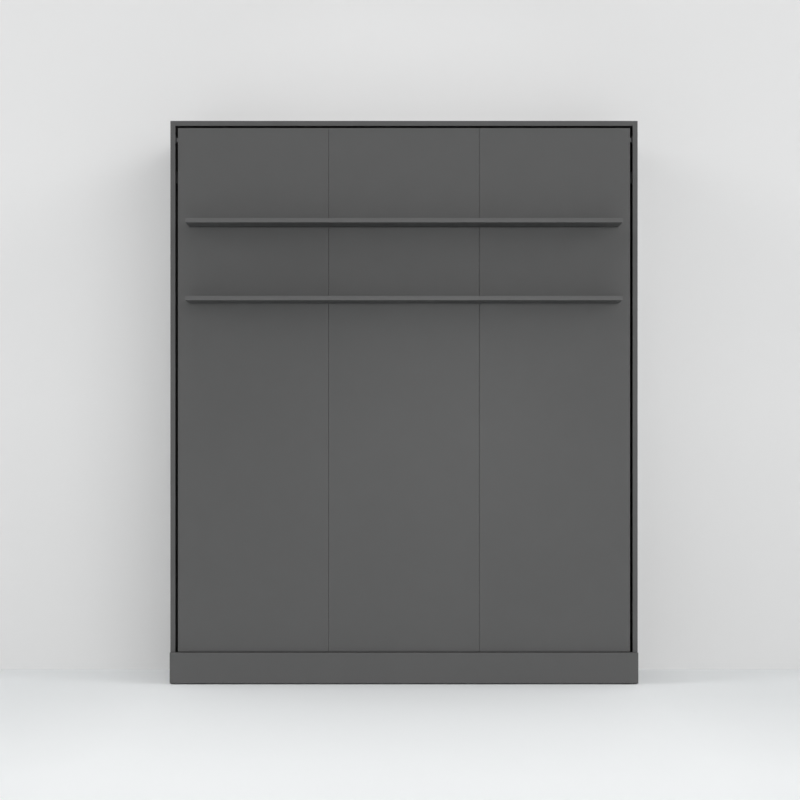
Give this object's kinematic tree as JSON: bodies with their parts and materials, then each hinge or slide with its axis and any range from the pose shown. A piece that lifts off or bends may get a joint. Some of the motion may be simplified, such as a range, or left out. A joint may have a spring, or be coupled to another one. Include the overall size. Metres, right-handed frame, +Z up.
{
  "type": "wall bed",
  "caption": "Upright wall bed: matte anthracite cabinet whose planked front tilts down on gas springs, its shelves becoming the feet, to open a mattress on a slatted steel frame.",
  "frame": {"origin": "on the floor at the wall, midway across the cabinet", "axes": "+X across the width to the viewer's right, +Y into the wall, +Z up; the front faces -Y"},
  "size_m": [1.81, 0.6, 2.18],
  "materials": {
    "anthracite_board": "matte",
    "back_board": "matte",
    "frame_steel": "satin",
    "plate_steel": "satin",
    "zinc_hardware": "satin",
    "bush_bronze": "satin",
    "spring_black": "gloss",
    "rod_chrome": "polished",
    "beech": "satin",
    "black_plastic": "matte",
    "catch_grey": "satin",
    "mattress_ticking": "matte",
    "strap_webbing": "matte",
    "stop_rubber": "matte"
  },
  "bodies": {
    "cabinet": {"left_side_panel": "anthracite_board", "right_side_panel": "anthracite_board", "top_panel": "anthracite_board", "plinth_board": "anthracite_board", "back_panel_left": "back_board", "back_panel_right": "back_board", "back_joiner": "black_plastic", "upper_back_rail": "anthracite_board", "lower_back_rail": "anthracite_board", "cabinet_dowels": "beech", "plinth_brackets": "plate_steel", "left_cabinet_plate": "plate_steel", "right_cabinet_plate": "plate_steel", "left_pivot_pin": "zinc_hardware", "right_pivot_pin": "zinc_hardware", "pivot_retainers": "zinc_hardware", "cabinet_spring_studs": "zinc_hardware", "cabinet_plate_screws": "zinc_hardware", "strike_plates": "black_plastic", "closing_stops": "stop_rubber"},
    "bed": {"bed_plate_bolts": "zinc_hardware", "bed_spring_studs": "zinc_hardware", "catch_bodies": "black_plastic", "centre_beam": "frame_steel", "centre_slat_holders": "black_plastic", "cross_rails": "frame_steel", "foot_rail": "frame_steel", "front_panel_left": "anthracite_board", "front_panel_middle": "anthracite_board", "front_panel_right": "anthracite_board", "head_rail": "frame_steel", "left_bed_plate": "plate_steel", "left_catch_spring": "zinc_hardware", "left_pivot_bush": "bush_bronze", "left_side_rail": "frame_steel", "left_slats": "beech", "lower_mattress_strap": "strap_webbing", "lower_shelf": "anthracite_board", "mattress": "mattress_ticking", "panel_screws": "zinc_hardware", "rail_end_caps": "black_plastic", "right_bed_plate": "plate_steel", "right_catch_spring": "zinc_hardware", "right_pivot_bush": "bush_bronze", "right_side_rail": "frame_steel", "right_slats": "beech", "shelf_bolts": "zinc_hardware", "side_slat_holders": "black_plastic", "strap_anchors": "zinc_hardware", "strap_buckles": "black_plastic", "upper_mattress_strap": "strap_webbing", "upper_shelf": "anthracite_board"},
    "left_cylinder": {"left_gas_cylinder": "spring_black"},
    "right_cylinder": {"right_gas_cylinder": "spring_black"},
    "left_rod": {"left_gas_rod": "rod_chrome"},
    "right_rod": {"right_gas_rod": "rod_chrome"},
    "left_plunger": {"left_catch_plunger": "catch_grey"},
    "right_plunger": {"right_catch_plunger": "catch_grey"}
  },
  "joints": [
    {"name": "bed_tilt", "type": "hinge", "parent": "cabinet", "child": "bed", "pos_m": [0, -0.305, 0.296], "axis": [1, 0, 0], "range_deg": [0, 90], "stiffness_Nm_per_rad": 495, "springref_deg": -22.92},
    {"name": "left_cylinder_swing", "type": "hinge", "parent": "cabinet", "child": "left_cylinder", "pos_m": [-0.8595, -0.14518, 0.4095], "axis": [1, 0, 0], "range_deg": [0, 45]},
    {"name": "left_rod_swing", "type": "hinge", "parent": "bed", "child": "left_rod", "pos_m": [-0.8595, -0.43, 0.145], "axis": [1, 0, 0], "range_deg": [-45, 0]},
    {"name": "left_catch_press", "type": "slide", "parent": "bed", "child": "left_plunger", "axis": [1, 0, 0], "range_m": [0, 0.004], "stiffness_N_per_m": 600, "springref_m": -0.004, "deforming": ["left_catch_spring"]},
    {"name": "right_cylinder_swing", "type": "hinge", "parent": "cabinet", "child": "right_cylinder", "pos_m": [0.8595, -0.14518, 0.4095], "axis": [1, 0, 0], "range_deg": [0, 45]},
    {"name": "right_rod_swing", "type": "hinge", "parent": "bed", "child": "right_rod", "pos_m": [0.8595, -0.43, 0.145], "axis": [1, 0, 0], "range_deg": [-45, 0]},
    {"name": "right_catch_press", "type": "slide", "parent": "bed", "child": "right_plunger", "axis": [-1, 0, 0], "range_m": [0, 0.004], "stiffness_N_per_m": 600, "springref_m": -0.004, "deforming": ["right_catch_spring"]}
  ],
  "couplings": [
    {"joint": "left_cylinder_swing", "follows": "bed_tilt", "ratio": 0.5},
    {"joint": "left_rod_swing", "follows": "bed_tilt", "ratio": -0.5},
    {"joint": "right_cylinder_swing", "follows": "bed_tilt", "ratio": 0.5},
    {"joint": "right_rod_swing", "follows": "bed_tilt", "ratio": -0.5}
  ]
}
